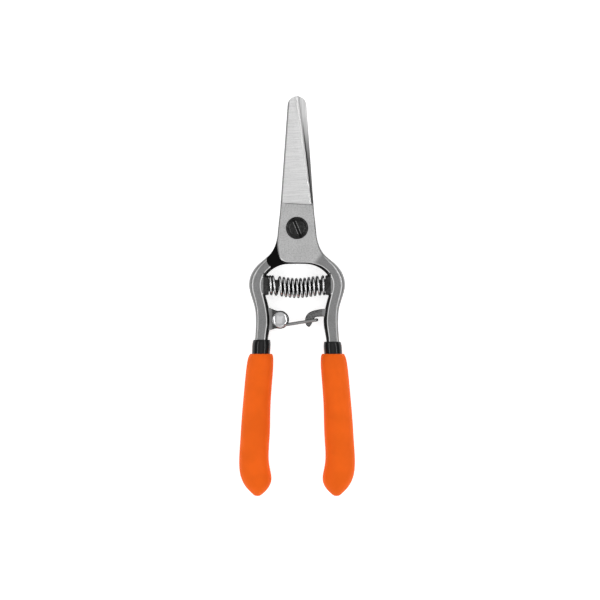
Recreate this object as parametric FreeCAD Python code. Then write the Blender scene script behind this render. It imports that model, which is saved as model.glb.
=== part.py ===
"""Floral snips: two forged scissor halves on a slotted pivot bolt, a coil spring, a wire latch and dipped grips.

Frame: millimetres. The origin is on the pivot axis, at the outer face of the pivot nut that the tool lies on.
+Z points from the nut to the slotted bolt head, +Y to the blade tips and +X to the handle that carries the hook.
The snips are modelled closed and latched. "Front" is the +Z side and "rear" the -Z side.
"""

import FreeCAD, Part
import math
import os

V = FreeCAD.Vector

# ---------------------------------------------------------------- driving dimensions
MID_Z = 6.7  # the plane where the two blades slide on each other
PLATE_T = 3.2  # thickness of one half at the pivot
BLADE_GAP = 0.1  # running gap between the two halves
FRONT_Z = MID_Z + BLADE_GAP / 2 + PLATE_T
REAR_Z = MID_Z - BLADE_GAP / 2 - PLATE_T

TIP_R = 4.8  # rounded end of the closed blades
TIP_CENTRE_Y = 62.2
BLADE_FOOT = (8.6, 9.0)  # half width of the closed blades, and how far above the pivot
EDGE_ROOT = (7.4, 12.4)  # front cutting edge, lower end
EDGE_TIP = (1.6, 61.0)  # front cutting edge, upper end
EDGE_T = 0.3  # blade thickness left on the cutting edge
BEVEL_W = 1.0
BEVEL_RISE = 0.62

BOLT_R = 3.2
BOLT_THREAD_R = 3.0
RUNNING_GAP = 0.05
FACE_GAP = 0.02  # between the washer and the half that turns under it
BOLT_HEAD_R = 5.2
BOLT_HEAD_H = 1.9
SLOT_W = 1.3
SLOT_DEPTH = 0.9
SLOT_LEAN_DEG = 23.0  # the slot leans this far from +Y, towards -X
WASHER_R = 5.65
WASHER_T = 0.4
NUT_FLATS = 10.0
NUT_H = 3.0
LOCK_WASHER_R = 4.9
LOCK_WASHER_SPLIT = 0.9

SPRING_Y = -29.0
SPRING_HALF = 14.35  # half the length of the closed spring
SPRING_R = 4.58  # from the coil's axis to the middle of the wire
SPRING_WIRE_R = 0.6
SPRING_BOW = 1.5
SPRING_TURNS = [(1.0, 1.3), (1.0, 3.6), (9.0, 2.12), (1.0, 2.9), (0.5, 1.24)]  # turns, pitch
PEG_R = 3.25
PEG_TIP_R = 2.7
PEG_LENGTH = 5.2
SEAT_R = 4.85
SEAT_ROOT_R = 5.9
SEAT_ROOT_X = 18.5

RIVET = (-8.63, -46.5)  # latch pivot
RIVET_R = 2.12
RIVET_HEAD_R = 4.05
RIVET_HEAD_H = 1.5
RIVET_TAIL_R = 3.3
RIVET_TAIL_H = 1.1
RIVET_WASHER_T = 0.4
EAR_R = 4.6
EAR_HALF_T = 2.4
LATCH_WIRE_R = 0.8
LATCH_EYE_R = 3.0
LATCH_REACH = 18.63  # rivet axis to cross bar
LATCH_CORNER_R = 1.5
LATCH_GAP = 0.3  # wire to the faces it swings between
LATCH_EYE_DEG = 300

SLEEVE_TOPS = {"left": -56.5, "right": -57.5}
SLEEVE_RUN = [  # y, x of the middle, half width, half thickness; right hand side, below the rounded top
    (-62.0, 18.2, 4.7, 4.7), (-72.0, 19.3, 4.4, 4.6),
    (-86.0, 20.4, 4.3, 4.5), (-100.0, 21.25, 4.2, 4.4), (-112.0, 21.85, 4.0, 4.4), (-121.0, 22.0, 3.9, 4.3),
    (-125.0, 21.9, 3.3, 3.7), (-127.6, 21.85, 2.3, 2.6), (-128.6, 21.8, 1.2, 1.3),
]
GRIP_RUN = [
    (-63.7, 18.2, 5.45, 5.45), (-64.4, 18.25, 5.95, 5.95), (-66.0, 18.45, 6.45, 6.25),
    (-69.0, 18.75, 6.8, 6.5), (-74.0, 19.2, 6.95, 6.6), (-82.0, 19.9, 7.0, 6.65), (-92.0, 20.65, 7.15, 6.65),
    (-101.0, 21.05, 7.45, 6.65), (-109.0, 21.5, 7.45, 6.65), (-116.0, 21.95, 7.5, 6.65),
    (-121.5, 21.6, 7.8, 6.65), (-125.5, 20.9, 7.95, 6.6), (-128.9, 20.3, 7.25, 6.1),
    (-131.2, 20.15, 6.05, 5.3), (-133.2, 20.0, 4.4, 4.1), (-134.9, 20.0, 2.6, 2.6), (-136.2, 20.05, 0.7, 0.8),
]
SLEEVE_SQUARENESS = 2.5  # 2 is an ellipse, higher is boxier
GRIP_SQUARENESS = 2.35

# Half outlines, as (x, y, radius of the rounded edge), seen from the front; the rear half is the same turned over.
SHOULDER_TO_TANG = [
    (8.8, 6.5, 0.9), (9.3, 1.5, 0.9), (9.85, -3.4, 0.9), (10.6, -7.2, 1.0), (11.9, -10.6, 1.2),
    (13.9, -13.5, 1.5), (16.65, -15.9, 1.9), (19.3, -18.1, 2.4), (21.8, -20.9, 2.9), (23.55, -24.1, 3.1),
    (24.35, -27.4, 3.1), (24.2, -30.8, 2.9), (23.3, -34.2, 2.6), (22.2, -37.6, 2.3), (21.3, -41.0, 2.0),
    (20.9, -44.8, 1.8), (20.85, -49.5, 1.7), (21.1, -54.0, 1.6), (21.55, -60.0, 1.5), (22.5, -72.0, 1.5),
    (23.5, -86.0, 1.5), (24.2, -100.0, 1.5), (24.55, -112.0, 1.5), (24.5, -119.0, 1.5), (23.9, -121.8, 1.5),
    (22.0, -123.0, 1.5), (20.1, -121.8, 1.5), (19.4, -119.0, 1.5), (19.1, -112.0, 1.5), (18.3, -100.0, 1.5),
    (17.3, -86.0, 1.5), (16.1, -72.0, 1.5), (15.2, -60.0, 1.7), (14.3, -53.5, 2.1), (13.6, -49.5, 2.2),
    (13.5, -46.0, 2.2), (14.0, -42.0, 2.1), (14.9, -38.0, 2.0), (16.1, -34.0, 1.9), (17.1, -30.4, 1.8),
    (17.0, -27.2, 1.8), (15.6, -24.0, 1.8), (12.9, -21.25, 1.7), (9.8, -19.4, 1.3), (6.9, -18.5, 1.0),
    (3.6, -18.2, 0.9), (0.0, -18.15, 0.9), (-3.4, -18.1, 0.9), (-6.0, -17.8, 0.9), (-8.0, -16.7, 0.9),
    (-9.25, -14.4, 0.9), (-9.9, -10.9, 0.9), (-10.1, -6.4, 0.9), (-9.75, -2.0, 0.9), (-9.2, 3.4, 0.9),
]
EAR_ARM = [
    (-9.8, -41.95), (-12.3, -41.1), (-15.2, -40.6), (-17.0, -43.0), (-17.2, -46.5), (-17.0, -50.0),
    (-15.2, -51.9), (-12.3, -51.4), (-9.9, -50.95),
]
HOOK = [
    (15.6, -40.9), (13.4, -40.95), (10.6, -41.35), (7.5, -42.15), (5.75, -43.15), (4.65, -44.5), (4.1, -46.2),
    (4.2, -48.0), (4.75, -49.3), (5.55, -50.0), (6.2, -50.1), (6.75, -49.65), (7.45, -48.55), (8.1, -47.3),
    (8.6, -46.3), (8.95, -45.55), (9.4, -45.15), (10.2, -45.0), (11.8, -44.95), (13.4, -44.95),
    (15.6, -44.9), (16.6, -43.0),
]
LUG_EDGE_R = 0.7
STEP_WALL = [(14.3, -13.4), (15.4, -16.3), (13.4, -19.6)]  # where the arm grows to its full thickness

os.makedirs("parts", exist_ok=True)


def save(name, shape):
    """Writes one node's STEP file."""
    shape.exportStep(f"parts/{name}.step")
    sound = shape.isValid() and len(shape.Solids) == 1 and shape.Solids[0].isClosed()
    print(f"{name}: {shape.Volume:.1f} mm3, {'sound' if sound else 'NOT SOUND'}")


# ---------------------------------------------------------------- small helpers
def line(a, b):
    return Part.LineSegment(a, b).toShape()


def arc(a, b, c):
    return Part.Arc(a, b, c).toShape()


def prism(edges, z0, z1):
    """A solid between two heights over a closed outline drawn at height 0."""
    face = Part.Face(Part.Wire(Part.__sortEdges__(edges)))
    face.translate(V(0, 0, z0))
    return face.extrude(V(0, 0, z1 - z0))


def polygon(points, z0, z1):
    corners = [V(x, y, 0) for x, y in points]
    return prism([line(a, b) for a, b in zip(corners, corners[1:] + corners[:1])], z0, z1)


def cylinder(r, z0, z1, x=0.0, y=0.0):
    return Part.makeCylinder(r, z1 - z0, V(x, y, z0))


def turned(profile, x=0.0, y=0.0):
    """A solid of revolution about a vertical axis, from (radius, z) corners."""
    corners = [V(r, 0, z) for r, z in profile]
    edges = [line(a, b) for a, b in zip(corners, corners[1:] + corners[:1])]
    solid = Part.Face(Part.Wire(edges)).revolve(V(0, 0, 0), V(0, 0, 1), 360)
    solid.translate(V(x, y, 0))
    return solid


def dome_profile(r, z, height, steps=10):
    """(radius, z) points of a cap from its rim to its top; a negative height hangs down."""
    quarter = [math.pi / 2 * i / steps for i in range(steps + 1)]
    return [(r * math.cos(a), z + height * math.sin(a)) for a in quarter[:-1]] + [(0, z + height)]


def closed_curve(points, params=None):
    """A smooth closed curve through the points."""
    if params is None:
        steps = [(b - a).Length for a, b in zip(points, points[1:] + points[:1])]
        params = [sum(steps[:i]) for i in range(len(points) + 1)]
    curve = Part.BSplineCurve()
    curve.interpolate(Points=points, PeriodicFlag=True, Parameters=params)
    return curve, params


def forged(rows, z0, z1):
    """A solid between two heights, with its edges rounded by the radius in each (x, y, radius) row."""
    points = [V(x, y, 0) for x, y, _ in rows]
    curve, params = closed_curve(points)
    area = sum(a.x * b.y - b.x * a.y for a, b in zip(points, points[1:] + points[:1]))
    side = 1 if area > 0 else -1
    inward = [V(-t.y, t.x, 0) * side for t in (curve.tangent(p)[0] for p in params[:-1])]
    half = (z1 - z0) / 2
    depths = [d for d in (0.0, 0.08, 0.3, 0.65, 1.1, 1.7, 2.5) if d < half]
    heights = [(z0 + d, d) for d in depths] + [(z1 - d, d) for d in reversed(depths)]
    wires = []
    for z, depth in heights:
        ring = []
        for point, normal, (_, _, r) in zip(points, inward, rows):
            inset = r - math.sqrt(r * r - (r - depth) ** 2) if depth < r else 0.0
            ring.append(V(point.x, point.y, z) + normal * inset)
        wires.append(Part.Wire(closed_curve(ring, params)[0].toShape()))
    return Part.makeLoft(wires, True, True)


def block_above(a, b, c, size=160.0):
    """A large block that stands on the plane through three points, on its upper side."""
    x_axis = (b - a).normalize()
    normal = x_axis.cross(c - a).normalize()
    if normal.z < 0:
        normal = normal * -1
    y_axis = normal.cross(x_axis)
    block = Part.makeBox(size, size, size / 8)
    block.Placement = FreeCAD.Placement(
        a - x_axis * size / 2 - y_axis * size / 2, FreeCAD.Rotation(x_axis, y_axis, normal, "XYZ")
    )
    return block


def turn_over(shape):
    """The shape turned half a turn about the tool's long axis, which makes a rear half from a front one."""
    other = shape.copy()
    other.rotate(V(0, 0, MID_Z), V(0, 1, 0), 180)
    return other


def mirrored(shape):
    return shape.mirror(V(0, 0, 0), V(1, 0, 0))


# ---------------------------------------------------------------- forged halves
def blade_outline():
    """Outline rows of the closed blades, from the left foot over the rounded tip to the right foot."""
    foot = V(*BLADE_FOOT, 0)
    centre = V(0, TIP_CENTRE_Y, 0)
    lean = math.atan2(foot.x, centre.y - foot.y) - math.asin(TIP_R / (centre - foot).Length)
    up = V(-math.sin(lean), math.cos(lean), 0)
    length = (centre - foot).dot(up)
    side = [foot + up * length * t for t in (0, 0.25, 0.5, 0.7, 0.85, 0.94)]
    sweep = [lean + (math.pi / 2 - lean) * i / 5 for i in range(5)]
    tip = [centre + V(math.cos(a), math.sin(a), 0) * TIP_R for a in sweep]
    right = [(p.x, p.y, 0.9) for p in side + tip]
    left = [(-x, y, r) for x, y, r in right]
    return left + [(0, TIP_CENTRE_Y + TIP_R, 0.9)] + right[::-1]


def edge_point(t, inset=0.0, z=0.0):
    """A point on the front cutting edge, t from its root to its tip, moved inwards from the edge."""
    root = V(*EDGE_ROOT, 0)
    along = V(*EDGE_TIP, 0) - root
    inward = V(-along.y, along.x, 0).normalize()
    return root + along * t + inward * inset + V(0, 0, z)


def ground_area(z0, z1):
    """The part of the front half that is ground: a prism over everything above the step line."""
    step = [(-8.4, 14.9), (-8.15, 13.9), (-7.5, 13.2), (-6.4, 12.75), (8.5, 11.85), (30, 10.5)]
    return polygon([(-30, 14.9), *step, (30, 90), (-30, 90)], z0, z1)


def half():
    """The front half without hook or ear: blade, pivot plate, bow, arm, tang and spring seat."""
    solid = forged(blade_outline() + SHOULDER_TO_TANG, REAR_Z, FRONT_Z)
    inner_z = MID_Z + BLADE_GAP / 2

    wall = [V(x, y, 0) for x, y in STEP_WALL]
    around = [V(12.2, -23.5, 0), V(-40, -23.5, 0), V(-40, 90, 0), V(40, 90, 0), V(40, -8, 0)]
    path = [wall[-1], *around, wall[0]]
    edges = [arc(*wall)] + [line(a, b) for a, b in zip(path, path[1:])]
    solid = solid.cut(prism(edges, REAR_Z - 1, inner_z))

    low, high = edge_point(0), edge_point(1.4)
    beside_edge = [(low.x, low.y), (40, 11.5), (40, 90), (high.x, high.y)]
    solid = solid.cut(polygon(beside_edge, REAR_Z, FRONT_Z + 1))
    face = block_above(V(-8.4, 12.4, 9.7), V(-1.3, 66, 8.2), V(7.4, 12.4, 7.65))
    area = ground_area(inner_z - 1, FRONT_Z + 1)
    solid = solid.cut(face.common(area))
    sharp = inner_z + EDGE_T
    bevel = block_above(edge_point(0, 0, sharp), edge_point(1, 0, sharp), edge_point(0, BEVEL_W, sharp + BEVEL_RISE))
    solid = solid.cut(bevel.common(area))

    seat = Part.makeCone(SEAT_ROOT_R, SEAT_R, SEAT_ROOT_X - SPRING_HALF, V(SEAT_ROOT_X, SPRING_Y, MID_Z), V(-1, 0, 0))
    slab = Part.makeBox(40, 40, FRONT_Z - REAR_Z - 0.2, V(0, SPRING_Y - 20, REAR_Z + 0.1))
    peg = Part.makeCone(PEG_R, PEG_TIP_R, PEG_LENGTH, V(SPRING_HALF, SPRING_Y, MID_Z), V(-1, 0, 0))
    solid = solid.fuse([seat.common(slab), peg])
    return solid.cut(cylinder(BOLT_R + RUNNING_GAP, 0, 20))


def hook():
    rows = [(x, y, LUG_EDGE_R) for x, y in HOOK]
    return forged(rows, MID_Z - EAR_HALF_T, MID_Z + EAR_HALF_T)


def ear():
    """The lobe on the rear half that carries the latch rivet."""
    x, y = RIVET
    lobe = [math.radians(a) for a in range(-100, 101, 20)]
    rows = [(x + EAR_R * math.cos(a), y + EAR_R * math.sin(a), LUG_EDGE_R) for a in lobe]
    rows += [(px, py, LUG_EDGE_R) for px, py in EAR_ARM]
    return forged(rows, MID_Z - EAR_HALF_T, MID_Z + EAR_HALF_T)


# ---------------------------------------------------------------- pivot
def pivot_bolt():
    """Slotted bolt that stands still in the rear half; the front half turns on its shank."""
    z = FRONT_Z + FACE_GAP + WASHER_T
    head = dome_profile(BOLT_HEAD_R, z + 0.9, BOLT_HEAD_H - 0.9)
    end = [(0, 0), (BOLT_THREAD_R - 0.4, 0), (BOLT_THREAD_R, 0.4), (BOLT_THREAD_R, NUT_H)]
    solid = turned([*end, (BOLT_R, REAR_Z), (BOLT_R, z), (BOLT_HEAD_R, z), *head])
    slot = Part.makeBox(SLOT_W, 20, SLOT_DEPTH + 1, V(-SLOT_W / 2, -10, z + BOLT_HEAD_H - SLOT_DEPTH))
    slot.rotate(V(0, 0, 0), V(0, 0, 1), SLOT_LEAN_DEG)
    return solid.cut(slot)


def pivot_washer():
    z = FRONT_Z + FACE_GAP
    inner = BOLT_R + RUNNING_GAP
    rim = [(WASHER_R, z), (WASHER_R, z + WASHER_T - 0.15), (WASHER_R - 0.15, z + WASHER_T)]
    return turned([(inner, z), *rim, (inner, z + WASHER_T)])


def lock_washer():
    inner = BOLT_R + RUNNING_GAP
    ring = turned([(inner, NUT_H), (LOCK_WASHER_R, NUT_H), (LOCK_WASHER_R, REAR_Z), (inner, REAR_Z)])
    return ring.cut(Part.makeBox(20, LOCK_WASHER_SPLIT, 4, V(0, -LOCK_WASHER_SPLIT / 2, NUT_H - 1)))


def pivot_nut():
    """Hexagon nut with chamfered corners."""
    corner_r = NUT_FLATS / math.sqrt(3)
    hexagon = [(corner_r * math.cos(math.radians(a)), corner_r * math.sin(math.radians(a))) for a in range(0, 360, 60)]
    flat_r = NUT_FLATS / 2 - 0.1
    barrel = turned([(0, 0), (flat_r, 0), (corner_r, 0.5), (corner_r, NUT_H - 0.5), (flat_r, NUT_H), (0, NUT_H)])
    bore = cylinder(BOLT_THREAD_R + RUNNING_GAP, -1, NUT_H + 1)
    return polygon(hexagon, 0, NUT_H).common(barrel).cut(bore)


# ---------------------------------------------------------------- spring
def sweep(path, wire_r):
    """A round wire along a wire path."""
    start = path.Edges[0]
    centre = start.valueAt(start.FirstParameter)
    circle = Part.Wire(Part.makeCircle(wire_r, centre, start.tangentAt(start.FirstParameter)))
    return Part.Wire(path.Edges).makePipeShell([circle], True, True)


def return_spring():
    """Compression coil with closed ends, bowed a little towards the latch."""
    points = []
    x = -SPRING_HALF + SPRING_WIRE_R
    angle = 0.0
    length = sum(turns * pitch for turns, pitch in SPRING_TURNS)
    scale = (SPRING_HALF - SPRING_WIRE_R) * 2 / length
    per_turn = 16
    for turns, pitch in SPRING_TURNS:
        for _ in range(round(turns * per_turn)):
            points.append((x, angle))
            x += pitch * scale / per_turn
            angle += 2 * math.pi / per_turn
    points.append((x, angle))
    centres = []
    for x, angle in points:
        y = SPRING_Y - SPRING_BOW * (1 + math.cos(math.pi * x / SPRING_HALF)) / 2
        centres.append(V(x, y + SPRING_R * math.sin(angle), MID_Z + SPRING_R * math.cos(angle)))
    curve = Part.BSplineCurve()
    curve.interpolate(centres)
    return sweep(Part.Wire(curve.toShape()), SPRING_WIRE_R)


# ---------------------------------------------------------------- latch
def latch_heights():
    """Heights of the middle of the bail's front and rear arms."""
    off = EAR_HALF_T + LATCH_GAP + LATCH_WIRE_R
    return MID_Z + off, MID_Z - off


def latch_bail():
    """One bent wire: front eye round the rivet, arm, cross bar behind the hook, arm, rear eye."""
    centre = V(*RIVET, 0)
    straight = math.sqrt(LATCH_REACH**2 - LATCH_EYE_R**2)
    bar_angle = math.atan2(-46.6 - RIVET[1], 10.0 - RIVET[0])
    arm_angle = bar_angle + math.atan2(LATCH_EYE_R, straight)
    along = V(math.cos(arm_angle), math.sin(arm_angle), 0)
    touch_angle = arm_angle - math.pi / 2
    sweep_angle = math.radians(LATCH_EYE_DEG)

    def on_eye(angle, z):
        return centre + V(math.cos(angle), math.sin(angle), 0) * LATCH_EYE_R + V(0, 0, z)

    front, rear = latch_heights()
    edges = []
    ends = {}
    for z in (front, rear):
        a, b, c = (on_eye(touch_angle - sweep_angle * t, z) for t in (1, 0.5, 0))
        corner = c + along * straight
        before = corner - along * LATCH_CORNER_R
        edges.append([arc(a, b, c), line(c, before)])
        ends[z] = (before, corner)
    down = V(0, 0, -1)
    bend = LATCH_CORNER_R * (1 - math.sqrt(0.5))
    top_start, top_corner = ends[front]
    low_start, low_corner = ends[rear]
    top_end = top_corner + down * LATCH_CORNER_R
    low_end = low_corner - down * LATCH_CORNER_R
    top_bend = arc(top_start, top_corner - along * bend + down * bend, top_end)
    low_bend = arc(low_end, low_corner - along * bend - down * bend, low_start)
    rear_arm = [line(low_start, edges[1][0].valueAt(edges[1][0].LastParameter)), edges[1][0]]
    wire = Part.Wire(Part.__sortEdges__(edges[0] + [top_bend, line(top_end, low_end), low_bend] + rear_arm))
    return sweep(wire, LATCH_WIRE_R)


def latch_rivet():
    front, rear = latch_heights()
    off = LATCH_WIRE_R + LATCH_GAP
    under_head = front + off
    tail = rear - off - RIVET_WASHER_T
    lower = [(r, z) for r, z in dome_profile(RIVET_TAIL_R, tail, -RIVET_TAIL_H)][::-1]
    upper = dome_profile(RIVET_HEAD_R, under_head + 0.2, RIVET_HEAD_H - 0.2)
    profile = lower + [(RIVET_R, tail), (RIVET_R, under_head), (RIVET_HEAD_R, under_head)] + upper
    return turned(profile, *RIVET)


def latch_washer():
    _, rear = latch_heights()
    top = rear - LATCH_WIRE_R - LATCH_GAP
    inner = RIVET_R + RUNNING_GAP
    profile = [(inner, top - RIVET_WASHER_T), (3.9, top - RIVET_WASHER_T), (3.9, top), (inner, top)]
    return turned(profile, *RIVET)


# ---------------------------------------------------------------- dipped handles
def dipped(run, squareness):
    """A rounded handle coating, right hand side, through sections across the handle."""
    wires = []
    for y, x, half_w, half_t in run:
        ring = []
        for i in range(16):
            angle = 2 * math.pi * i / 16
            c, s = math.cos(angle), math.sin(angle)
            px = math.copysign(abs(c) ** (2 / squareness), c) * half_w
            pz = math.copysign(abs(s) ** (2 / squareness), s) * half_t
            ring.append(V(x + px, y, MID_Z + pz))
        wires.append(Part.Wire(closed_curve(ring, list(range(17)))[0].toShape()))
    return Part.makeLoft(wires, True, False)


def main():
    forging = half()
    front = forging.fuse(hook())
    rear = turn_over(forging).fuse(ear()).cut(cylinder(RIVET_R + RUNNING_GAP, 0, 20, *RIVET))
    save("front_blade", front.removeSplitter())
    save("rear_blade", rear.removeSplitter())

    save("pivot_bolt", pivot_bolt())
    save("pivot_washer", pivot_washer())
    save("lock_washer", lock_washer())
    save("pivot_nut", pivot_nut())
    save("return_spring", return_spring())
    save("latch_bail", latch_bail())
    save("latch_rivet", latch_rivet())
    save("latch_washer", latch_washer())

    for side, top in SLEEVE_TOPS.items():
        rounded_top = [(top, 17.85, 4.15, 4.2), (top - 0.8, 17.95, 4.45, 4.5)]
        coating = dipped(rounded_top + SLEEVE_RUN, SLEEVE_SQUARENESS)
        pieces = {"sleeve": coating.cut(forging), "grip": dipped(GRIP_RUN, GRIP_SQUARENESS).cut(coating)}
        for kind, shape in pieces.items():
            save(f"{side}_{kind}", mirrored(shape) if side == "left" else shape)


main()
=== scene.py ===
import math

import bpy
import numpy
from bpy.props import FloatProperty, FloatVectorProperty, IntProperty, PointerProperty
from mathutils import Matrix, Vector


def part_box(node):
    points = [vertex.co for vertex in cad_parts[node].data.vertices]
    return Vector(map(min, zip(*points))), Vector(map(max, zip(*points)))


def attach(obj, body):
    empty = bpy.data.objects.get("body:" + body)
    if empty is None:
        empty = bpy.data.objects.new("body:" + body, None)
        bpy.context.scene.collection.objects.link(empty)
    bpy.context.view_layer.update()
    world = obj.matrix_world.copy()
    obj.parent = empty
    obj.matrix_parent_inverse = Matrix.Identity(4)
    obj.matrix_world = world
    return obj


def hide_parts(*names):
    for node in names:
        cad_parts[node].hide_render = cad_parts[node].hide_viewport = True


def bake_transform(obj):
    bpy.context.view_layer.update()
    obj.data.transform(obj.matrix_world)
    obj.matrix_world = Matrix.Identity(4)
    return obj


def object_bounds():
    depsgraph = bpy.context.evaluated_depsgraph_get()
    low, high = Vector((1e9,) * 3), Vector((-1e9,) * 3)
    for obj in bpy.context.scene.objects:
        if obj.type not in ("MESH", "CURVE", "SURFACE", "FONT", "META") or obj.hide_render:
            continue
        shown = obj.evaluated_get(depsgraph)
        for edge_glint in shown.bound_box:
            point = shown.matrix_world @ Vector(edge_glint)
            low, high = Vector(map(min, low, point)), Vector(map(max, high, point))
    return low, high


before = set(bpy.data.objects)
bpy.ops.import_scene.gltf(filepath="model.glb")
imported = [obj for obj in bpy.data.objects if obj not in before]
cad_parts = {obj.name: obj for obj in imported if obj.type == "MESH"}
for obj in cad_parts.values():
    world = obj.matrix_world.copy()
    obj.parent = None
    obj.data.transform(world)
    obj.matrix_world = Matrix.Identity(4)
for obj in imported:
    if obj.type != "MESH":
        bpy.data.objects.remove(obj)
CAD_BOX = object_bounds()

bl_info = {
    "name": "Floral snips",
    "version": (1, 0, 0),
    "blender": (4, 5, 0),
    "location": "3D View > Sidebar > Snips",
    "description": "Builds flower snips with ground blades, a coil spring, a wire latch and dipped grips",
    "category": "Add Mesh",
}

MM = 0.001
MID_Z = (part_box("rear_blade")[0].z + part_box("front_blade")[1].z) / 2  # where the blades slide on each other
STEP_Y = 12.4 * MM  # lower end of the ground blade faces
SHANK_END_Z = 3.4 * MM  # where the bolt's shank meets its thread

# straight runs on the blades: x * first + y * second = third
SPINE_RUN = (0.9975, 0.071, 9.22 * MM)
EDGE_RUN = (0.993, 0.1185, 8.82 * MM)

# Where a forging's finish changes, with the front half in place and the rear half turned over to match it.
# A pair is the two ends of a stretch, lower first, or a soft change, from none of the finish to all of it.
ARM_TOP_Y = (-13 * MM, -16 * MM)  # dull edges of the plate above, buffed edges of the arms below
ARM_SHADE_WAY = (0.83, 0.56)  # painted shade: the brushed face is painted darker from plate to arm along this slanting way
ARM_SHADE_START = (16.2 * MM, 18.8 * MM)
# a painted shadow line along the step to the ground face, darker towards the right
STEP_SHADOW_Y = (11.9 * MM, 12.4 * MM)
STEP_SHADOW_X = (-7 * MM, -5 * MM)
WINDOW_Y = -45 * MM  # middle of the space between the arms, which their blackened sides face
LUG_X = (13.2 * MM, 12.2 * MM)  # the ear or the hook
LUG_Y = (-53 * MM, -39.5 * MM)
SEAT_X = (17.4 * MM, 16.9 * MM)  # the boss that holds the spring
SEAT_Y = (-35.3 * MM, -22.7 * MM)
RECESS_Z = (5 * MM, 6 * MM)  # the thinned shoulder beside the plate
RECESS_Y = (12 * MM, 11.6 * MM)
WALL_X = (15.9 * MM, 15.5 * MM)  # the wall where the arm grows to its full thickness
WALL_Y = (-22 * MM, -12 * MM)
WALL_Z = (6.75 * MM, 6.6 * MM)

LEVEL = 0.9999  # a face whose normal has at least this much z is flat
GROUND_SLOT, SLIDING_SLOT = 1, 2  # material slots of a half, after its forged steel
FOOT_EDGE = 0.3 * MM  # how far below the step a ground face's edge may reach
SLIDING_EDGE = 0.5 * MM

SPRING_RUNS = [(1.0, 1.3), (1.0, 3.6), (9.0, 2.12), (1.0, 2.9), (0.5, 1.24)]  # turns, relative pitch

# rings of the coats, as distances in mm from the upper end, closest where the outline turns
COLLAR_RINGS = [0.03, 0.2, 0.5, 1.0, 2.0, 3.5, 6.0, 8.5, 11.0, 11.8, 12.0]
GRIP_RINGS = [0.03, 0.2, 0.5, 0.9, 1.5, 2.4, 4, 6.5, 10, 15, 20, 26, 32, 38]
GRIP_RINGS += [44, 50, 54, 57, 59.5, 61.5, 63.5, 65.3, 67, 68.5, 69.8, 71, 71.8, 72.3]

FLOOR_SIZE = 6.0
LAMPS = (  # name, place from the point of the floor below the tool's middle, both sides, watts
    ("overhead", (0, 0, 2.3), (1.2, 1.8), 1.9),
    ("left_strip", (-0.9, -0.1, 0.9), (1.6, 0.16), 4.2),
    ("right_strip", (0.9, 0.1, 0.9), (1.6, 0.16), 4.2),
    ("foot_box", (0.1, -1.2, 0.8), (1.2, 0.15), 0.6),
)
VIEW_MIDDLE = (1.5 * MM, -36.5 * MM)
VIEW_WIDTH = 304.5 * MM
VIEW_DISTANCE = 1.8
SENSOR_WIDTH = 36  # in mm, as the camera's own setting is


# ---------------------------------------------------------------- settings
def length(name, text, default):
    return FloatProperty(name=name, description=text, default=default, unit="LENGTH", precision=5)


def colour(name, text, default):
    return FloatVectorProperty(name=name, description=text, default=default, subtype="COLOR", min=0, max=1)


class SNIPS_PG_sizes(bpy.types.PropertyGroup):
    """Sizes that can be changed without leaving the measured frame"""

    wire: length("Spring wire", "Radius of the spring's wire", 0.68 * MM)
    slot_width: length("Slot width", "Width of the screw slot", 1.3 * MM)
    slot_depth: length("Slot depth", "Depth of the screw slot", 0.9 * MM)
    slot_lean: FloatProperty(
        name="Slot lean", description="Lean of the slot", default=math.radians(23), subtype="ANGLE"
    )
    soft_edge: length("Soft edge", "Rounding of the small turned and cut edges", 0.12 * MM)
    ring_points: IntProperty(
        name="Ring points", description="Points round each grip ring", default=32, min=12
    )
    lathe_steps: IntProperty(
        name="Lathe steps", description="Steps round each turned piece", default=72, min=24
    )


class SNIPS_PG_colours(bpy.types.PropertyGroup):
    """Colours and light"""

    ground: colour("Ground steel", "Ground faces of the blades", (0.84, 0.84, 0.84))
    # painted light and shade: the plate is painted lighter and the arm darker, for the light that falls
    # differently on them
    plate: colour("Plate steel", "Brushed face round the pivot", (0.6, 0.6, 0.6))
    arm: colour("Arm steel", "Brushed face of the arms", (0.285, 0.285, 0.287))
    rim: colour("Rim steel", "Buffed round edges of the arms", (0.55, 0.55, 0.55))
    # painted shade: the arms' outermost sides are darkened where they turn sideways
    side: colour("Side steel", "Outermost sides of the arms", (0.24, 0.24, 0.24))
    spine: colour("Spine steel", "Dull round edges of plate and blades", (0.16, 0.16, 0.16))
    hook: colour("Hook", "Catch that the latch wire drops over", (0.16, 0.16, 0.16))
    ear: colour("Ear", "Lug that carries the latch rivet", (0.09, 0.09, 0.09))
    seat: colour("Spring seat", "Forged bosses that hold the spring", (0.04, 0.04, 0.04))
    black: colour("Black", "Blackened inner sides", (0.02, 0.02, 0.02))
    bolt: colour("Bolt", "Oiled dark bolt steel", (0.04, 0.04, 0.04))
    coil: colour("Spring plating", "Bright plating of the spring", (0.78, 0.78, 0.79))
    rivet: colour("Rivet plating", "Polished plating of the rivet", (0.63, 0.63, 0.64))
    wire: colour("Latch wire", "Plated latch wire", (0.3, 0.3, 0.3))
    collar: colour("Inner coat", "Glossy first coat of the handles", (0.006, 0.006, 0.0065))
    grip: colour("Grip", "Soft outer coat of the handles", (0.95, 0.137, 0.007))
    floor: colour("Floor", "Floor under the tool", (0.9, 0.9, 0.9))
    light: FloatProperty(name="Light", description="Strength of the studio light", default=1.0, min=0)


# ---------------------------------------------------------------- modelling helpers
def deselect():
    if bpy.context.object and bpy.context.object.mode != "OBJECT":
        bpy.ops.object.mode_set(mode="OBJECT")
    bpy.ops.object.select_all(action="DESELECT")


def activate(piece):
    deselect()
    piece.select_set(True)
    bpy.context.view_layer.objects.active = piece


def edit(piece):
    """Edit mode with the whole mesh selected."""
    activate(piece)
    bpy.ops.object.mode_set(mode="EDIT")
    bpy.ops.mesh.select_all(action="SELECT")


def leave():
    bpy.ops.object.mode_set(mode="OBJECT")


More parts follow.
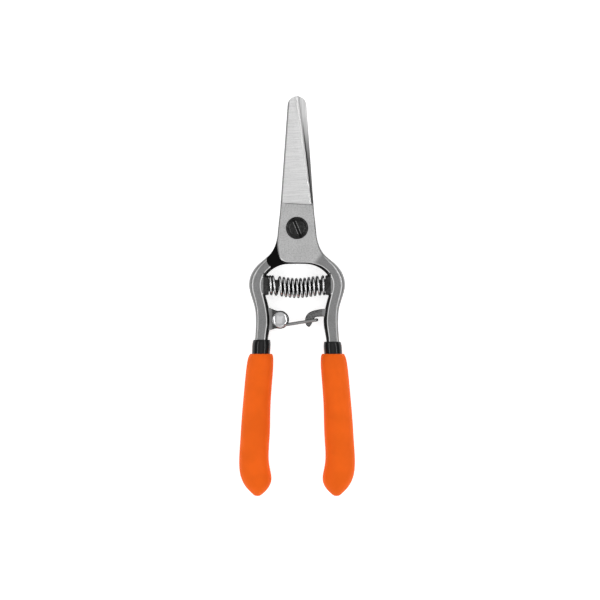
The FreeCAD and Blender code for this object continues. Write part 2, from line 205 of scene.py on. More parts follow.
def settle(piece, name):
    """Names the piece and moves its place into its mesh."""
    activate(piece)
    bpy.ops.object.transform_apply(location=True, rotation=True, scale=True)
    piece.name = name
    piece.data.name = name
    return piece


def modify(piece, kind, **settings):
    """Adds a modifier and applies it."""
    activate(piece)
    modifier = piece.modifiers.new(kind.lower(), kind)
    for key, value in settings.items():
        setattr(modifier, key, value)
    bpy.ops.object.modifier_apply(modifier=modifier.name)


def smooth(piece, degrees=32):
    activate(piece)
    bpy.ops.object.shade_smooth_by_angle(angle=math.radians(degrees))


def tidy_mesh(piece):
    edit(piece)
    bpy.ops.mesh.remove_doubles(threshold=0.002 * MM)
    bpy.ops.mesh.normals_make_consistent(inside=False)
    leave()


def merged_copy(node, name):
    """A copy of a CAD node's mesh with its loose triangles joined."""
    deselect()
    piece = bpy.data.objects.new(name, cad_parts[node].data.copy())
    bpy.context.collection.objects.link(piece)
    piece.data.name = name
    piece.data.materials.clear()
    edit(piece)
    bpy.ops.mesh.customdata_custom_splitnormals_clear()
    bpy.ops.mesh.remove_doubles(threshold=0.0005 * MM)
    leave()
    return piece


def lathe(name, profile, centre, steps):
    """A piece turned about a vertical axis from a closed (radius, z) profile."""
    deselect()
    bpy.ops.mesh.primitive_circle_add(vertices=len(profile), radius=MM, location=(0, 0, 0))
    piece = bpy.context.object
    for vertex, (radius, z) in zip(piece.data.vertices, profile):
        vertex.co = (centre[0] + radius, centre[1], z)
    edit(piece)
    bpy.ops.mesh.spin(steps=steps, angle=2 * math.pi, center=(centre[0], centre[1], 0), axis=(0, 0, 1))
    leave()
    tidy_mesh(piece)
    return settle(piece, name)


def arch(radius, z, height, steps=10):
    """(radius, z) points of a low dome, from its rim to its top."""
    turns = [math.pi / 2 * i / steps for i in range(steps + 1)]
    return [(radius * math.cos(a), z + height * math.sin(a)) for a in turns]


def edge_ends(node):
    """Both ends of every edge of a CAD node, as two arrays."""
    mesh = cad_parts[node].data
    points = numpy.empty(3 * len(mesh.vertices))
    mesh.vertices.foreach_get("co", points)
    pairs = numpy.empty(2 * len(mesh.edges), dtype=int)
    mesh.edges.foreach_get("vertices", pairs)
    ends = points.reshape(-1, 3)[pairs].reshape(-1, 2, 3)
    return ends[:, 0], ends[:, 1]


def slice_of(ends, y):
    """Middle and half sizes, in x and z, of a cut across a handle at y."""
    a, b = ends
    crossing = (a[:, 1] - y) * (b[:, 1] - y) < 0
    a, b = a[crossing], b[crossing]
    cut = a + (b - a) * ((y - a[:, 1]) / (b[:, 1] - a[:, 1]))[:, None]
    low, high = cut.min(0), cut.max(0)
    return (low[0] + high[0]) / 2, (low[2] + high[2]) / 2, (high[0] - low[0]) / 2, (high[2] - low[2]) / 2


def dipped(node, name, stations, points):
    """A coat drawn out ring by ring along a CAD handle; stations are distances in mm from its upper end."""
    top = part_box(node)[1].y
    ends = edge_ends(node)
    rings = [(top - s * MM, *slice_of(ends, top - s * MM)) for s in stations]
    y, x, z, half_x, half_z = rings[0]
    deselect()
    bpy.ops.mesh.primitive_circle_add(
        vertices=points, radius=1, fill_type="NGON", location=(x, y, z), rotation=(math.pi / 2, 0, 0)
    )
    piece = bpy.context.object
    piece.scale = (half_x, half_z, 1)
    settle(piece, name)
    edit(piece)
    for before, after in zip(rings, rings[1:]):
        step = (after[1] - before[1], after[0] - before[0], after[2] - before[2])
        bpy.ops.mesh.extrude_region_move(TRANSFORM_OT_translate={"value": step})
        grow = (after[3] / before[3], 1, after[4] / before[4])
        bpy.ops.transform.resize(value=grow, center_override=(after[1], after[0], after[2]))
    leave()
    tidy_mesh(piece)
    modify(piece, "SUBSURF", levels=1, render_levels=1)
    smooth(piece, 60)
    return piece


# ---------------------------------------------------------------- material helpers
class Tree:
    """Adds nodes to a node tree; a value may be a number, a colour or another node's socket."""

    def __init__(self, tree):
        self.tree = tree

    def put(self, socket, value):
        if isinstance(value, bpy.types.NodeSocket):
            self.tree.links.new(value, socket)
        elif value is not None:
            socket.default_value = value

    def add(self, kind, values=None, **settings):
        node = self.tree.nodes.new(kind)
        for key, value in settings.items():
            setattr(node, key, value)
        for key, value in (values or {}).items():
            self.put(node.inputs[key], value)
        return node

    def math(self, operation, a, b=None):
        return self.add("ShaderNodeMath", {0: a, 1: b}, operation=operation).outputs[0]

    def times(self, *values):
        total = values[0]
        for value in values[1:]:
            total = self.math("MULTIPLY", total, value)
        return total

    def most(self, *values):
        total = values[0]
        for value in values[1:]:
            total = self.math("MAXIMUM", total, value)
        return total

    def ramp(self, value, low, high, out_low=0.0, out_high=1.0):
        """A smooth step from out_low to out_high."""
        values = {"Value": value, "From Min": low, "From Max": high, "To Min": out_low, "To Max": out_high}
        return self.add("ShaderNodeMapRange", values, interpolation_type="SMOOTHSTEP").outputs[0]

    def between(self, value, low, high, soft):
        """1 between low and high, fading out over soft."""
        rise = self.ramp(value, low - soft, low + soft)
        fall = self.ramp(value, high - soft, high + soft, 1, 0)
        return self.times(rise, fall)

    def mix(self, factor, a, b):
        node = self.add("ShaderNodeMix", {0: factor}, data_type="RGBA")
        self.put(node.inputs[6], a)
        self.put(node.inputs[7], b)
        return node.outputs[2]

    def blend(self, factor, a, b):
        node = self.add("ShaderNodeMix", {0: factor, 2: a, 3: b}, data_type="FLOAT")
        return node.outputs[0]

    def split(self, vector):
        return self.add("ShaderNodeSeparateXYZ", {0: vector}).outputs

    def vector(self, operation, a, b=None):
        outputs = self.add("ShaderNodeVectorMath", {0: a, 1: b}, operation=operation).outputs
        return outputs["Value"] if operation == "DOT_PRODUCT" else outputs["Vector"]

    def scaled(self, vector, by):
        return self.vector("MULTIPLY", vector, by)

    def facing(self, normal, away, axes):
        """How far a normal points along away, from -1 to 1, where away counts in the given axes only."""
        return self.vector("DOT_PRODUCT", normal, self.vector("NORMALIZE", self.scaled(away, axes)))

    def noise(self, vector, scale, detail=3.0, roughness=0.55):
        values = {"Vector": vector, "Scale": scale, "Detail": detail, "Roughness": roughness}
        return self.add("ShaderNodeTexNoise", values).outputs[0]

    def bump(self, height, strength, distance):
        values = {"Height": height, "Strength": strength, "Distance": distance}
        return self.add("ShaderNodeBump", values).outputs[0]

    def group(self, group, **values):
        named = {key.replace("_", " "): value for key, value in values.items()}
        return self.add("ShaderNodeGroup", named, node_tree=group).outputs[0]


def rgba(tone, part=1.0):
    """A colour for a socket, darkened to a part of itself."""
    return (*(c * part for c in tone), 1.0)


def grey(level):
    return (level, level, level, 1.0)


def new_group(name, inputs, output):
    """An empty node group with vector or number inputs and one number output."""
    group = bpy.data.node_groups.new(name, "ShaderNodeTree")
    for key, default in inputs.items():
        kind = "NodeSocketVector" if isinstance(default, tuple) else "NodeSocketFloat"
        socket = group.interface.new_socket(key, in_out="INPUT", socket_type=kind)
        socket.default_value = default
    group.interface.new_socket(output, in_out="OUTPUT", socket_type="NodeSocketFloat")
    tree = Tree(group)
    given = tree.add("NodeGroupInput").outputs
    result = tree.add("NodeGroupOutput").inputs[0]
    return group, tree, given, result


def line_marks():
    """Fine parallel marks, such as brushing or grinding: the stretch is marks per metre each way."""
    group, tree, given, result = new_group(
        "line_marks", {"Point": (0.0, 0.0, 0.0), "Stretch": (1.0, 1.0, 1.0), "Contrast": 1.0}, "Marks"
    )
    value = tree.noise(tree.scaled(given["Point"], given["Stretch"]), 1.0, 4.0, 0.65)
    spread = tree.times(tree.math("SUBTRACT", value, 0.5), given["Contrast"])
    tree.put(result, tree.math("ADD", spread, 0.5))
    return group


def speckle():
    """Small separate spots: pits, dust or worn places."""
    group, tree, given, result = new_group(
        "speckle", {"Point": (0.0, 0.0, 0.0), "Size": 1000.0, "Amount": 0.5}, "Spots"
    )
    value = tree.noise(given["Point"], given["Size"], 2.0, 0.5)
    limit = tree.math("SUBTRACT", 0.85, tree.times(given["Amount"], 0.4))
    tree.put(result, tree.ramp(value, limit, tree.math("ADD", limit, 0.08)))
    return group


def mottle():
    """Broad soft variation."""
    group, tree, given, result = new_group("mottle", {"Point": (0.0, 0.0, 0.0), "Size": 100.0}, "Shade")
    tree.put(result, tree.ramp(tree.noise(given["Point"], given["Size"], 2.0, 0.5), 0.3, 0.7))
    return group


def effect(name):
    makers = {"line_marks": line_marks, "speckle": speckle, "mottle": mottle}
    return bpy.data.node_groups.get(name) or makers[name]()


def new_material(name):
    material = bpy.data.materials.new(name)
    material.use_nodes = True
    tree = Tree(material.node_tree)
    shader = material.node_tree.nodes["Principled BSDF"]
    place = tree.add("ShaderNodeTexCoord")
    return material, tree, shader, place.outputs["Object"], place.outputs["Normal"]


def finish_shader(tree, shader, **values):
    for key, value in values.items():
        tree.put(shader.inputs[key.replace("_", " ")], value)


# ---------------------------------------------------------------- materials
def turned(tree, point, normal, turned_over):
    """Point and normal of a forging, with the rear half turned over onto the front one."""
    sign = -1.0 if turned_over else 1.0
    lift = (0, 0, 2 * MID_Z) if turned_over else (0, 0, 0)
    turn = {"Vector": point, "Scale": (sign, 1.0, sign), "Location": lift}
    return tree.add("ShaderNodeMapping", turn).outputs[0], tree.scaled(normal, (sign, 1.0, sign))


def forging_wear(tree, point):
    """Brushing marks, pits, soft shade and the grain left by forging."""
    marks = tree.group(effect("line_marks"), Point=point, Stretch=(2600.0, 300.0, 900.0), Contrast=1.7)
    spots = tree.group(effect("speckle"), Point=point, Size=900.0, Amount=0.35)
    shade = tree.group(effect("mottle"), Point=point, Size=120.0)
    grain = tree.ramp(tree.noise(point, 1500.0, 2.0), 0.42, 0.68)
    return marks, spots, shade, grain


def brushed_face(tree, colours, at, wear):
    """Brushed plate, painted darker into the arm as shade, with a painted shadow line along the step to the
    ground blade.
    """
    marks, spots, shade, grain = wear
    # painted shade: the face darkens from the plate into the arm
    along = tree.math("SUBTRACT", tree.times(at[0], ARM_SHADE_WAY[0]), tree.times(at[1], ARM_SHADE_WAY[1]))
    face = tree.mix(tree.ramp(along, *ARM_SHADE_START), rgba(colours.plate), rgba(colours.arm))
    face = tree.mix(tree.times(marks, 0.24), face, grey(0.12))
    face = tree.mix(tree.times(shade, 0.10), face, grey(0.1))
    face = tree.mix(tree.times(grain, 0.26), face, grey(0.1))
    face = tree.mix(tree.times(spots, 0.25), face, grey(0.05))
    # painted shadow: a dark line along the step
    slanted = tree.math("ADD", at[1], tree.times(at[0], 0.06))
    step_shadow = tree.times(tree.between(slanted, *STEP_SHADOW_Y, 0.12 * MM), tree.ramp(at[0], *STEP_SHADOW_X))
    return tree.mix(tree.times(step_shadow, 0.6), face, grey(0.1))


def edged_face(tree, colours, face, steep, inward, on_arm):
    """The face with its outer round edges: dull along plate and blade, buffed along the arms, whose outermost
    sides are painted darker as shade.
    """
    rounded = tree.times(tree.ramp(steep, 0.97, 0.92), tree.ramp(inward, 0.02, -0.02))
    # painted shade: where the edge turns sideways it takes the darker side tone
    edge = tree.mix(tree.ramp(steep, 0.8, 0.88), rgba(colours.side), rgba(colours.rim))
    edge = tree.mix(on_arm, rgba(colours.spine), edge)
    return tree.mix(tree.times(rounded, 0.9), face, edge)


def lug_and_seat(tree, colours, lug_tone, at, steep, wear):
    """Where the lug and the spring seat are, and their dark scaly tone, with painted shade on the lug's sloping
    sides.
    """
    _, _, shade, grain = wear
    lug = tree.times(tree.ramp(at[0], *LUG_X), tree.between(at[1], *LUG_Y, 0.4 * MM))
    seat = tree.times(tree.ramp(at[0], *SEAT_X), tree.between(at[1], *SEAT_Y, 0.3 * MM))
    scale = tree.mix(seat, rgba(lug_tone), rgba(colours.seat))
    scale = tree.mix(tree.times(shade, 0.4), scale, tree.mix(0.3, scale, grey(0.3)))
    scale = tree.mix(tree.times(grain, 0.6), scale, grey(0.01))
    # painted shade: the lug's sloping sides are painted darker
    scale = tree.mix(tree.times(tree.ramp(steep, 0.95, 0.6), lug, 0.8), scale, grey(0.015))
    return tree.most(lug, seat), scale


def recess_and_wall(tree, at, up, steep):
    """Where the thinned shoulder beside the plate is, and the wall that ends it."""
    recess = tree.times(tree.ramp(up, -0.3, -0.7), tree.ramp(at[2], *RECESS_Z), tree.ramp(at[1], *RECESS_Y))
    upright = tree.times(tree.ramp(steep, 0.6, 0.4), tree.ramp(at[2], *WALL_Z))
    beside = tree.times(tree.ramp(at[0], *WALL_X), tree.between(at[1], *WALL_Y, 0.3 * MM))
    return tree.most(recess, tree.times(upright, beside))


def forged_steel(name, colours, turned_over):
    """Brushed plate and arm, buffed round edges, dark lugs and blackened inner sides and recess."""
    material, tree, shader, point, normal = new_material(name)
    point, normal = turned(tree, point, normal, turned_over)
    at = tree.split(point)
    up = tree.split(normal)[2]
    steep = tree.math("ABSOLUTE", up)
    inward = tree.facing(normal, tree.vector("SUBTRACT", (0, WINDOW_Y, MID_Z), point), (1.0, 1.0, 0.0))
    on_arm = tree.ramp(at[1], *ARM_TOP_Y)

    wear = forging_wear(tree, point)
    marks, spots, _, _ = wear
    face = edged_face(tree, colours, brushed_face(tree, colours, at, wear), steep, inward, on_arm)
    lug_tone = colours.ear if turned_over else colours.hook
    dark, scale = lug_and_seat(tree, colours, lug_tone, at, steep, wear)

    # painted highlight: a thin bright line where the arms' face meets the rounded inner edge
    edge_glint = tree.times(tree.between(inward, 0.05, 0.2, 0.02), on_arm, tree.ramp(steep, 0.8, 0.9))
    flank = tree.times(tree.ramp(inward, 0.16, 0.26), on_arm)
    hidden = recess_and_wall(tree, at, up, steep)
    black = tree.most(flank, hidden)
    oxide = tree.mix(hidden, rgba(colours.black), rgba(colours.black, 0.35))
    oxide = tree.mix(tree.times(spots, 0.5), oxide, grey(0.05))
    tone = tree.mix(tree.times(edge_glint, 0.9), face, rgba(colours.ground))
    tone = tree.mix(black, tone, oxide)
    tone = tree.mix(dark, tone, scale)

    unbrushed = tree.most(black, dark)
    rough = tree.blend(unbrushed, tree.math("ADD", 0.33, tree.times(marks, 0.14)), 0.42)
    pitted = tree.times(tree.noise(point, 700.0), unbrushed, 2.0)
    height = tree.math("ADD", tree.times(marks, 0.5), pitted)
    relief = tree.bump(height, 0.35, 0.06 * MM)
    finish_shader(tree, shader, Base_Color=tone, Roughness=rough, Metallic=1.0, Normal=relief)
    return material


def ground_steel(name, colours):
    """Bright blade face with crosswise grinding marks, a dull spine and a keen bevel."""
    material, tree, shader, point, normal = new_material(name)
    at = tree.split(point)
    across = tree.math("ABSOLUTE", at[0])
    side = tree.math("ABSOLUTE", tree.split(normal)[0])
    tilt = tree.add("ShaderNodeMapping", {"Vector": point, "Rotation": (0, 0, math.radians(-4))}).outputs[0]
    marks = tree.group(effect("line_marks"), Point=tilt, Stretch=(60.0, 2600.0, 400.0), Contrast=2.6)
    shade = tree.group(effect("mottle"), Point=point, Size=90.0)
    grain = tree.ramp(tree.noise(point, 1500.0, 1.0), 0.5, 0.75)
    light = colours.ground
    tone = tree.mix(tree.times(marks, 0.5), rgba(light), rgba(light, 0.5))
    tone = tree.mix(tree.times(shade, 0.12), tone, rgba(light, 0.7))
    tone = tree.mix(tree.times(grain, 0.3), tone, rgba(light, 0.6))
    outward = tree.math("ADD", tree.times(across, SPINE_RUN[0]), tree.times(at[1], SPINE_RUN[1]))
    spine = tree.ramp(outward, SPINE_RUN[2] - 0.95 * MM, SPINE_RUN[2] - 0.65 * MM)
    tone = tree.mix(tree.times(spine, 0.75), tone, rgba(colours.spine))
    tone = tree.mix(tree.ramp(side, 0.2, 0.3), tone, rgba(light, 0.6))
    rough = tree.math("ADD", 0.3, tree.times(marks, 0.16))
    relief = tree.bump(marks, 0.3, 0.05 * MM)
    finish_shader(tree, shader, Base_Color=tone, Roughness=rough, Metallic=1.0, Normal=relief)
    return material


def sliding_steel(name, colours):
    """Inner blade face: lengthwise streaks, with painted shade darkening it towards the pivot and a painted
    shadow line along the other blade's edge.
    """
    material, tree, shader, point, _ = new_material(name)
    at = tree.split(point)
    across = tree.math("ABSOLUTE", at[0])
    marks = tree.group(effect("line_marks"), Point=point, Stretch=(1700.0, 70.0, 400.0), Contrast=2.4)
    outward = tree.math("ADD", tree.times(across, EDGE_RUN[0]), tree.times(at[1], EDGE_RUN[1]))
    edge_shadow_line = tree.between(outward, EDGE_RUN[2] - 0.4 * MM, EDGE_RUN[2] + 0.7 * MM, 0.25 * MM)
    # painted shade: the face is darker towards the pivot and lightens towards the tip
    shade_fades_to_tip = tree.ramp(at[1], 32 * MM, 62 * MM)
    tone = tree.mix(shade_fades_to_tip, grey(0.2), rgba(colours.ground))
    tone = tree.mix(tree.times(marks, 0.35), tone, grey(0.06))
    # painted shadow: a dark line along the other blade's edge, fading towards the tip
    tone = tree.mix(tree.times(edge_shadow_line, tree.ramp(shade_fades_to_tip, 1.3, 0.0)), tone, grey(0.04))
    rough = tree.math("ADD", 0.3, tree.times(marks, 0.16))
    relief = tree.bump(marks, 0.25, 0.05 * MM)
    finish_shader(tree, shader, Base_Color=tone, Roughness=rough, Metallic=1.0, Normal=relief)
    return material


def plated(name, tone, roughness, wear, lumps=0.08, lump_size=1800.0):
    """Plated metal with faint drawing marks and small worn spots, painted dark as shade where it turns
    sideways.
    """
    material, tree, shader, point, normal = new_material(name)
    steep = tree.math("ABSOLUTE", tree.split(normal)[2])
    spots = tree.group(effect("speckle"), Point=point, Size=1400.0, Amount=wear)
    shade = tree.group(effect("mottle"), Point=point, Size=300.0)
    surface = tree.mix(tree.times(shade, 0.25), rgba(tone), rgba(tone, 0.6))
    surface = tree.mix(tree.times(spots, 0.5), surface, grey(0.25))
    # painted shade: faces turned sideways are painted dark
    surface = tree.mix(tree.ramp(steep, 0.62, 0.36), surface, rgba(tone, 0.1))
    rough = tree.math("ADD", roughness, tree.times(shade, 0.08))
    relief = tree.bump(tree.noise(point, lump_size, 1.0), lumps, 0.6 * MM)
    finish_shader(tree, shader, Base_Color=surface, Roughness=rough, Metallic=1.0, Normal=relief)
    return material


def bolt_steel(name, tone, sizes):
    """Blackened bolt steel, rubbed bright where a screwdriver has turned in the slot, with painted shade inside
    the slot.
    """
    material, tree, shader, point, _ = new_material(name)
    shade = tree.group(effect("mottle"), Point=point, Size=420.0)
    spots = tree.group(effect("speckle"), Point=point, Size=1300.0, Amount=0.55)
    turn = {"Vector": point, "Rotation": (0, 0, -sizes.slot_lean)}
    at = tree.split(tree.add("ShaderNodeMapping", turn).outputs[0])
    off_slot = tree.math("ABSOLUTE", at[0])
    on_head = tree.ramp(at[2], MID_Z, MID_Z + 4 * MM)
    used = tree.times(on_head, tree.ramp(tree.math("ABSOLUTE", at[1]), 3.9 * MM, 3.0 * MM))
    lip = sizes.slot_width / 2
    worn = tree.times(tree.between(off_slot, lip - 0.08 * MM, lip + 0.2 * MM, 0.08 * MM), used)
    # painted shade: the inside of the slot is painted darker
    slot_shade = tree.times(tree.ramp(off_slot, lip - 0.02 * MM, lip - 0.08 * MM), on_head)
    patchy = tree.ramp(tree.noise(point, 900.0), 0.36, 0.56)
    surface = tree.mix(tree.times(shade, 0.6), rgba(tone), rgba(tone, 0.35))
    surface = tree.mix(slot_shade, surface, rgba(tone, 0.25))
    surface = tree.mix(tree.times(spots, 0.35), surface, grey(0.16))
    surface = tree.mix(tree.times(worn, patchy, 0.9), surface, grey(0.34))
    rough = tree.math("ADD", 0.24, tree.times(shade, 0.12))
    relief = tree.bump(tree.noise(point, 1500.0), 0.2, 0.05 * MM)
    finish_shader(tree, shader, Base_Color=surface, Roughness=rough, Metallic=1.0, Normal=relief)
    return material


def sprung_wire(name, tone, axis_y):
    """Bright wire, painted black as shade on its inner side, between and inside the turns, and where it turns
    sideways, with small dark spots.
    """
    material, tree, shader, point, normal = new_material(name)
    from_axis = tree.vector("SUBTRACT", point, (0, axis_y, MID_Z))
    outward = tree.facing(normal, from_axis, (0.0, 1.0, 1.0))
    steep = tree.math("ABSOLUTE", tree.split(normal)[2])
    spots = tree.group(effect("speckle"), Point=point, Size=1500.0, Amount=0.4)
    clean = tree.ramp(spots, 1.2, 0.0)
    # painted shade: only the outward, upward-facing side of the wire keeps the bright tone, the rest is painted
    # black; the spots are dark specks
    rubbed_and_lit = tree.times(tree.ramp(outward, 0.7, 0.95), clean, tree.ramp(steep, 0.35, 0.65))
    surface = tree.mix(rubbed_and_lit, grey(0.006), rgba(tone))
    rough = tree.blend(rubbed_and_lit, 0.34, 0.2)
    relief = tree.bump(tree.noise(point, 1800.0), 0.08, 0.05 * MM)
    finish_shader(tree, shader, Base_Color=surface, Roughness=rough, Metallic=1.0, Normal=relief)
    return material


def coat(name, tone, roughness, grain, variation, shine):
    """Dipped vinyl: a fine grain and slightly uneven colour."""
    material, tree, shader, point, _ = new_material(name)
    shade = tree.group(effect("mottle"), Point=point, Size=85.0)
    spots = tree.group(effect("speckle"), Point=point, Size=2600.0, Amount=0.5)
    bloom = rgba([min(1, c * 1.15 + 0.002) for c in tone])
    surface = tree.mix(tree.times(shade, variation), rgba(tone), rgba(tone, 0.72))
    surface = tree.mix(tree.times(spots, variation * 0.5), surface, bloom)
    rough = tree.math("ADD", roughness, tree.times(shade, 0.06))
    height = tree.math("ADD", tree.noise(point, 2200.0, 3.0), tree.times(shade, 0.6))
    relief = tree.bump(height, grain, 0.08 * MM)
    gloss = {"Specular_IOR_Level": shine, "Metallic": 0.0, "Roughness": rough}
    finish_shader(tree, shader, Base_Color=surface, Normal=relief, **gloss)
    return material


def plain_floor(tone):
    material, tree, shader, point, _ = new_material("pale_floor")
    shade = tree.noise(point, 4.0, 2.0)
    surface = tree.mix(tree.times(shade, 0.04), rgba(tone), rgba(tone, 0.96))
    glow = {"Emission_Color": grey(1.0), "Emission_Strength": 0.62}
    finish_shader(tree, shader, Base_Color=surface, Roughness=0.9, Metallic=0.0, **glow)
    return material


# ---------------------------------------------------------------- operators
class SNIPS_OT_forgings(bpy.types.Operator):
    """Builds the two steel halves, with their ground blades and blackened inner sides"""

    bl_idname = "snips.forgings"
    bl_label = "Steel halves"

    def execute(self, context):
        colours = context.scene.snips_colours
        grind = ground_steel("ground_blade", colours)
        inner = sliding_steel("sliding_blade", colours)
        for side, body, sign in (("front", "front_half", 1), ("rear", "rear_half", -1)):
            piece = merged_copy(f"{side}_blade", f"{side}_half_steel")
            for material in (forged_steel(f"{side}_forging", colours, sign < 0), grind, inner):
                piece.data.materials.append(material)
            for face in piece.data.polygons:
                y, steep = face.center.y, abs(face.normal.z)
                outside = face.normal.z * sign > 0
                if steep <= 0.5 or y <= STEP_Y - SLIDING_EDGE:
                    continue
                if not outside:
                    face.material_index = SLIDING_SLOT
                elif steep <= LEVEL and y > STEP_Y - FOOT_EDGE:
                    face.material_index = GROUND_SLOT
            smooth(piece, 32)
            modify(piece, "WEIGHTED_NORMAL", weight=80, keep_sharp=True)
            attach(piece, body)
            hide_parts(f"{side}_blade")
        return {"FINISHED"}


class SNIPS_OT_pivot(bpy.types.Operator):
    """Builds the slotted pivot bolt, its two washers and the nut"""

    bl_idname = "snips.pivot"
    bl_label = "Pivot bolt"

    def execute(self, context):
        sizes = context.scene.snips_sizes
        dark = bolt_steel("oiled_steel", context.scene.snips_colours.bolt, sizes)
        low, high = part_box("pivot_bolt")
        washer_low, washer_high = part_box("pivot_washer")
        head_r, seat = high.x, washer_high.z
        shank_r, thread_r, chamfer = 3.2 * MM, 3.0 * MM, 0.4 * MM
        shoulder = seat + 0.8 * MM
        profile = [
            (0, low.z),
            (thread_r - chamfer, low.z),
            (thread_r, low.z + chamfer),
            (shank_r, SHANK_END_Z),
            (shank_r, seat),
            (head_r - 0.1 * MM, seat),
            (head_r, seat + 0.1 * MM),
            (head_r, shoulder),
            (head_r - 0.15 * MM, shoulder + 0.25 * MM),
            (head_r - 0.5 * MM, shoulder + 0.4 * MM),
            (head_r - 0.7 * MM, shoulder + 0.2 * MM),  # ring groove
            (head_r - 0.9 * MM, shoulder + 0.25 * MM),
        ]
        crown = arch(head_r - 1.0 * MM, shoulder + 0.3 * MM, high.z - shoulder - 0.3 * MM)
        bolt = lathe("pivot_screw", profile + crown, (0, 0), sizes.lathe_steps)
        deselect()
        bpy.ops.mesh.primitive_cube_add(size=1, location=(0, 0, high.z), rotation=(0, 0, sizes.slot_lean))
        cutter = bpy.context.object
        cutter.scale = (sizes.slot_width, 20 * MM, 2 * sizes.slot_depth)
        settle(cutter, "slot_cutter")
        modify(bolt, "BOOLEAN", operation="DIFFERENCE", object=cutter, solver="EXACT")
        bpy.data.objects.remove(cutter)
        sharp = {"limit_method": "ANGLE", "angle_limit": math.radians(40)}
        modify(bolt, "BEVEL", width=sizes.soft_edge, segments=2, **sharp)
        bore_r = shank_r + 0.05 * MM
        washer = [
            (bore_r, washer_low.z),
            (washer_high.x, washer_low.z),
            (washer_high.x, washer_high.z - 0.15 * MM),
            (washer_high.x - 0.15 * MM, washer_high.z),
            (bore_r, washer_high.z),
        ]
        pieces = {"pivot_bolt": bolt, "pivot_washer": lathe("bolt_washer", washer, (0, 0), sizes.lathe_steps)}
        for node, name in (("lock_washer", "split_washer"), ("pivot_nut", "hex_nut")):
            pieces[node] = merged_copy(node, name)
        for node, piece in pieces.items():
            smooth(piece, 30)
            piece.data.materials.append(dark)
            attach(piece, "rear_half")
            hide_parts(node)
        return {"FINISHED"}


class SNIPS_OT_spring(bpy.types.Operator):
    """Builds the coil spring that opens the handles"""

    bl_idname = "snips.spring"
    bl_label = "Coil spring"

    def execute(self, context):
        wire = context.scene.snips_sizes.wire
        low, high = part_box("return_spring")
        outer = (high.z - low.z) / 2
        axis_y = high.y - outer
        bow = axis_y - outer - low.y
        half = high.x - wire
        scale = 2 * half / sum(turns * pitch for turns, pitch in SPRING_RUNS)
        total = sum(turns for turns, _ in SPRING_RUNS)
        section, steps, screw_rise = 14, round(36 * total), 0.1 * MM
        deselect()
        bpy.ops.mesh.primitive_circle_add(vertices=section, radius=wire, location=(0, 0, 0))
        coil = bpy.context.object
        edit(coil)
        bpy.ops.transform.translate(value=(0, outer - wire, 0))
        leave()
        screw = {"axis": "X", "angle": 2 * math.pi * total, "screw_offset": screw_rise, "iterations": 1}
        modify(coil, "SCREW", steps=steps, render_steps=steps, use_smooth_shade=True, **screw)
        rings = len(coil.data.vertices) // section
        for ring in range(rings):
            turned_so_far = total * ring / (rings - 1)
            along, left = -half, turned_so_far
            for turns, pitch in SPRING_RUNS:
                along += min(left, turns) * pitch * scale
                left = max(0.0, left - turns)
            shift = along - screw_rise * ring / (rings - 1)
            sag = bow * (1 + math.cos(math.pi * along / high.x)) / 2
            for vertex in coil.data.vertices[ring * section : (ring + 1) * section]:
                vertex.co += Vector((shift, axis_y - sag, MID_Z))
        edit(coil)
        bpy.ops.mesh.select_all(action="DESELECT")
        bpy.ops.mesh.select_non_manifold()
        bpy.ops.mesh.edge_face_add()
        leave()
        edit(coil)
        bpy.ops.mesh.normals_make_consistent(inside=False)
        leave()
        settle(coil, "coil_spring")
        smooth(coil, 50)
        coil.data.materials.append(sprung_wire("spring_plating", context.scene.snips_colours.coil, axis_y))
        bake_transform(coil)
        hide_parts("return_spring")
        return {"FINISHED"}


class SNIPS_OT_latch(bpy.types.Operator):
    """Builds the wire latch, its domed rivet and the rivet's washer"""

    bl_idname = "snips.latch"
    bl_label = "Wire latch"

    def execute(self, context):
        colours = context.scene.snips_colours
        steps = context.scene.snips_sizes.lathe_steps
        bright = plated("polished_plating", colours.rivet, 0.1, 0.2, 0.6, 300.0)
        wire = plated("wire_plating", colours.wire, 0.24, 0.35)
        low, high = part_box("latch_rivet")
        centre = ((low.x + high.x) / 2, (low.y + high.y) / 2)
        head_r = (high.x - low.x) / 2
        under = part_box("latch_bail")[1].z + 0.3 * MM
        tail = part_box("latch_washer")[0].z
        shank_r, tail_r = 2.1 * MM, 3.3 * MM
        foot = [(r, 2 * tail - z) for r, z in arch(tail_r, tail, tail - low.z)][::-1]
        shank = [(shank_r, tail), (shank_r, under), (head_r - 0.1 * MM, under)]
        rim = under + 0.15 * MM
        stud = lathe("latch_stud", foot + shank + arch(head_r, rim, high.z - rim), centre, steps)
        washer = merged_copy("latch_washer", "stud_washer")
        bail = merged_copy("latch_bail", "wire_latch")
        for piece, material, slot, body, node in (
            (stud, bright, "rivet_chrome", "rear_half", "latch_rivet"),
            (washer, wire, "spring_wire", "rear_half", "latch_washer"),
            (bail, wire, "spring_wire", "latch", "latch_bail"),
        ):
            smooth(piece, 40)
            piece.data.materials.append(material)
            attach(piece, body)
            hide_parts(node)
        return {"FINISHED"}


class SNIPS_OT_grips(bpy.types.Operator):
    """Builds the black first coat and the orange grip of both handles"""

    bl_idname = "snips.grips"
    bl_label = "Dipped grips"

    def execute(self, context):
        colours = context.scene.snips_colours
        points = context.scene.snips_sizes.ring_points
        black = coat("glossy_coat", colours.collar, 0.05, 0.0, 0.3, 0.27)
        orange = coat("soft_coat", colours.grip, 0.55, 0.3, 0.3, 0.1)
        for side, body in (("left", "rear_half"), ("right", "front_half")):
            collar = dipped(f"{side}_sleeve", f"{side}_collar", COLLAR_RINGS, points)
            grip = dipped(f"{side}_grip", f"{side}_grip_coat", GRIP_RINGS, points)
            for piece, material, slot, node in (
                (collar, black, "black_dip", f"{side}_sleeve"),
                (grip, orange, "orange_grip", f"{side}_grip"),
            ):
                piece.data.materials.append(material)
                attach(piece, body)
                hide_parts(node)
        return {"FINISHED"}


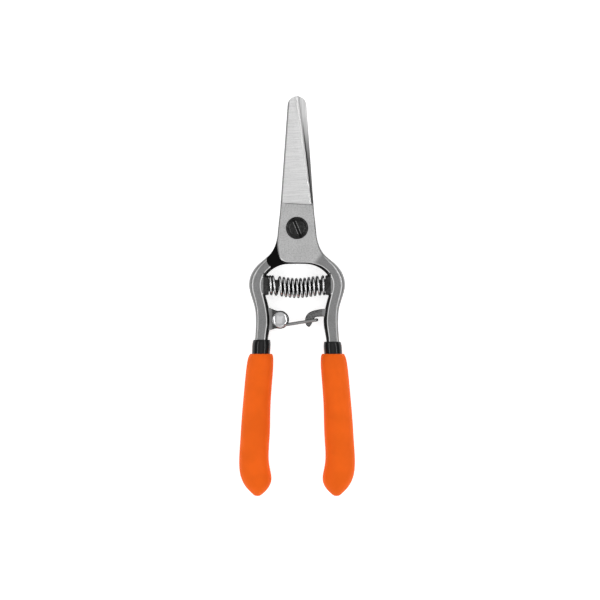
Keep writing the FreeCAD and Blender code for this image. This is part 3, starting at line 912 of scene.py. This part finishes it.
class SNIPS_OT_stage(bpy.types.Operator):
    """Adds the floor, the soft studio light and the camera above the tool"""

    bl_idname = "snips.stage"
    bl_label = "Stage"

    def execute(self, context):
        colours = context.scene.snips_colours
        low, high = CAD_BOX
        middle = (low + high) / 2
        deselect()
        bpy.ops.mesh.primitive_plane_add(size=FLOOR_SIZE, location=(0, 0, low.z))
        floor = settle(bpy.context.object, "floor")
        floor.data.materials.append(plain_floor(colours.floor))

        strength = colours.light
        for name, place, size, power in LAMPS:
            deselect()
            at = Vector(place) + Vector((middle.x, middle.y, 0))
            bpy.ops.object.light_add(type="AREA", location=at)
            lamp = bpy.context.object
            lamp.name = name
            lamp.data.shape = "RECTANGLE"
            lamp.data.size, lamp.data.size_y = size
            lamp.data.energy = power * strength
            aim = Vector((middle.x, middle.y, 0)) - at
            lamp.rotation_euler = aim.to_track_quat("-Z", "Y").to_euler()

        world = bpy.data.worlds.new("studio")
        world.use_nodes = True
        tree = Tree(world.node_tree)
        direction = tree.add("ShaderNodeTexCoord").outputs["Generated"]
        up = tree.split(direction)[2]
        walls = tree.mix(tree.ramp(up, 0.02, 0.3), grey(0.25), grey(0.5))
        patches = tree.ramp(tree.noise(direction, 2.4, 0.0), 0.42, 0.58)
        sky = tree.mix(tree.times(patches, 0.7), walls, grey(0.14))
        band = tree.ramp(tree.math("ABSOLUTE", tree.split(direction)[0]), 0.58, 0.42)
        sky = tree.mix(tree.times(band, tree.ramp(up, 0.05, 0.2)), sky, grey(0.72))
        back = world.node_tree.nodes["Background"]
        tree.put(back.inputs["Color"], sky)
        back.inputs["Strength"].default_value = strength
        context.scene.world = world

        camera_data = bpy.data.cameras.new("camera")
        camera_data.sensor_width = SENSOR_WIDTH
        camera_data.lens = SENSOR_WIDTH * VIEW_DISTANCE / VIEW_WIDTH
        camera = bpy.data.objects.new("camera", camera_data)
        context.collection.objects.link(camera)
        camera.location = (*VIEW_MIDDLE, VIEW_DISTANCE + MID_Z)
        context.scene.camera = camera
        context.scene.view_settings.view_transform = "Standard"
        return {"FINISHED"}


class SNIPS_PT_panel(bpy.types.Panel):
    """Lists the building steps and their settings"""

    bl_label = "Floral snips"
    bl_idname = "SNIPS_PT_panel"
    bl_space_type = "VIEW_3D"
    bl_region_type = "UI"
    bl_category = "Snips"

    def draw(self, context):
        for operator in OPERATORS:
            self.layout.operator(operator.bl_idname)
        for settings in (context.scene.snips_sizes, context.scene.snips_colours):
            box = self.layout.box()
            for name in settings.__annotations__:
                box.prop(settings, name)


OPERATORS = (
    SNIPS_OT_stage,
    SNIPS_OT_forgings,
    SNIPS_OT_pivot,
    SNIPS_OT_spring,
    SNIPS_OT_latch,
    SNIPS_OT_grips,
)
CLASSES = (SNIPS_PG_sizes, SNIPS_PG_colours, *OPERATORS, SNIPS_PT_panel)


def register():
    for each in CLASSES:
        bpy.utils.register_class(each)
    bpy.types.Scene.snips_sizes = PointerProperty(type=SNIPS_PG_sizes)
    bpy.types.Scene.snips_colours = PointerProperty(type=SNIPS_PG_colours)


def unregister():
    del bpy.types.Scene.snips_colours
    del bpy.types.Scene.snips_sizes
    for each in reversed(CLASSES):
        bpy.utils.unregister_class(each)


def main():
    register()
    for operator in OPERATORS:
        group, name = operator.bl_idname.split(".")
        getattr(getattr(bpy.ops, group), name)()
    deselect()


if __name__ == "__main__":
    main()
